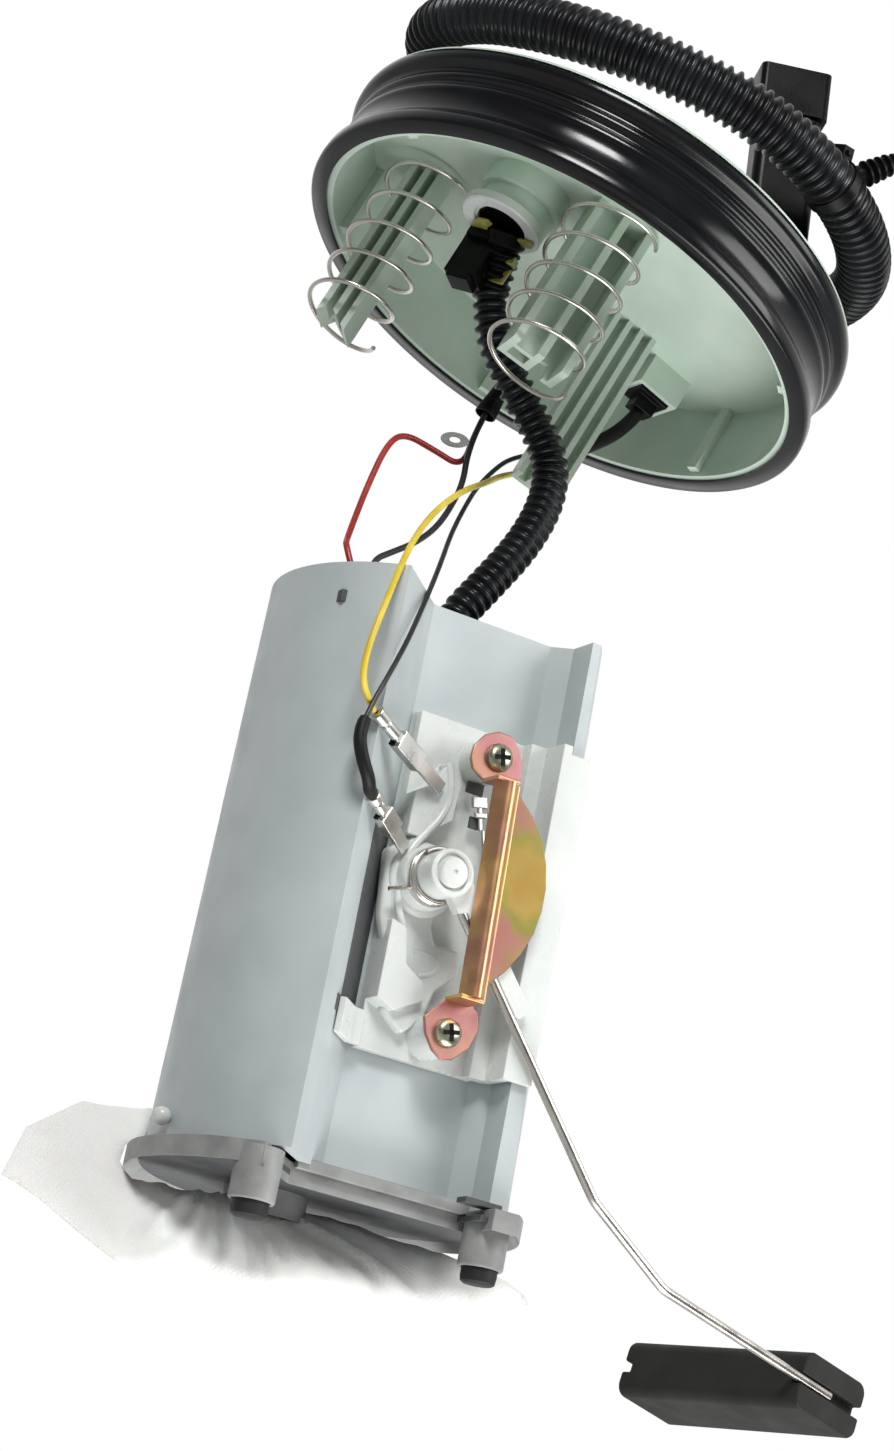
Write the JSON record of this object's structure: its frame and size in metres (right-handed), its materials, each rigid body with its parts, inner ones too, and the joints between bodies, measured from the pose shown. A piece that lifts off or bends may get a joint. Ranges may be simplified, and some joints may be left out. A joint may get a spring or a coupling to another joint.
{
  "type": "fuel pump module",
  "caption": "In-tank fuel pump module: round flange with seal and sprung posts, corrugated hoses, reservoir with pump, level sender, float arm and woven strainer.",
  "frame": {"origin": "centre of the tank seal at its lower face", "axes": "+Z along the flange axis, out of the tank; the reservoir hangs below towards +X"},
  "size_m": [0.2664, 0.173, 0.3234],
  "materials": {
    "cap_plastic": "moulded pale green-grey acetal",
    "seal_rubber": "glossy black nitrile",
    "spring_steel": "drawn wire",
    "black_plastic": "satin moulded",
    "clip_plastic": "translucent amber",
    "hose_plastic": "satin corrugated",
    "black_sleeve": "satin",
    "red_insulation": "satin",
    "black_insulation": "satin",
    "yellow_insulation": "satin",
    "reservoir_plastic": "moulded cool light grey acetal",
    "base_plastic": "moulded mid grey",
    "foot_rubber": "matt",
    "sock_mesh": "fine woven white mesh",
    "pump_steel": "rolled, plated",
    "pump_alloy": "die cast",
    "white_plastic": "natural acetal",
    "magnet_ferrite": "sintered",
    "plated_steel": "yellow iridescent zinc",
    "float_foam": "matt nitrile",
    "tinned_metal": "tinned"
  },
  "bodies": {
    "flange": {"flange_cap": "cap_plastic", "seal_ring": "seal_rubber", "quick_connect": "black_plastic", "retainer_clip": "clip_plastic", "port_plug": "black_plastic", "top_elbow": "black_plastic", "connector_tower": "black_plastic", "fir_tree_clip": "black_plastic", "outlet_hose": "hose_plastic", "hose_coupler": "black_plastic", "hose_upper": "hose_plastic", "pump_lead": "black_sleeve", "sender_lead": "black_sleeve"},
    "left_spring_body": {"left_spring": "spring_steel"},
    "center_spring_body": {"center_spring": "spring_steel"},
    "harness": {"hose_lower": "hose_plastic", "wire_red": "red_insulation", "wire_black": "black_insulation", "wire_yellow": "yellow_insulation", "wire_sender": "black_insulation", "wire_boot": "black_sleeve"},
    "reservoir": {"reservoir_shell": "reservoir_plastic", "shell_peg": "black_plastic", "base_plate": "base_plastic", "rubber_foot_1": "foot_rubber", "rubber_foot_2": "foot_rubber", "rubber_foot_3": "foot_rubber", "strainer_sock": "sock_mesh", "strainer_neck": "base_plastic", "pump_can": "pump_steel", "pump_inlet": "pump_alloy", "pump_outlet": "black_plastic", "magnet_left": "magnet_ferrite", "magnet_right": "magnet_ferrite", "isolator_lower": "foot_rubber", "isolator_upper": "foot_rubber", "pump_cradle": "base_plastic", "pump_plug": "black_plastic", "sender_plate": "white_plastic", "sender_clip": "white_plastic", "half_moon_bracket": "plated_steel", "screw_top": "plated_steel", "screw_bottom": "plated_steel", "terminal_upper": "tinned_metal", "terminal_lower": "tinned_metal", "heat_shrink": "black_sleeve"},
    "rotor": {"impeller": "white_plastic", "armature": "pump_steel"},
    "float_arm": {"arm_hub": "white_plastic", "hub_spring": "spring_steel", "arm_wire": "spring_steel", "float_block": "float_foam"}
  },
  "joints": [
    {"name": "left_spring_press", "type": "slide", "parent": "flange", "child": "left_spring_body", "axis": [0, 0, 1], "range_m": [0, 0.02], "stiffness_N_per_m": 150, "deforming": ["left_spring"]},
    {"name": "center_spring_press", "type": "slide", "parent": "flange", "child": "center_spring_body", "axis": [0, 0, 1], "range_m": [0, 0.02], "stiffness_N_per_m": 150, "deforming": ["center_spring"]},
    {"name": "reservoir_swing", "type": "hinge", "parent": "flange", "child": "harness", "pos_m": [0.0119, 0.0339, -0.025], "axis": [-0.1668, 0.986, 0], "range_deg": [0, 19.8], "deforming": ["hose_upper", "pump_lead", "sender_lead"]},
    {"name": "guide_travel", "type": "slide", "parent": "harness", "child": "reservoir", "axis": [-0.3346, -0.0566, 0.9406], "range_m": [0, 0.038], "deforming": ["hose_lower", "wire_red", "wire_black", "wire_yellow", "wire_sender"]},
    {"name": "pump_spin", "type": "hinge", "parent": "reservoir", "child": "rotor", "pos_m": [0.03895, 0.01867, -0.18405], "axis": [-0.3346, -0.0566, 0.9406], "continuous": true},
    {"name": "float_swing", "type": "hinge", "parent": "reservoir", "child": "float_arm", "pos_m": [0.04376, -0.01205, -0.14273], "axis": [0.3378, -0.9391, 0.0637], "range_deg": [0, 75]}
  ]
}
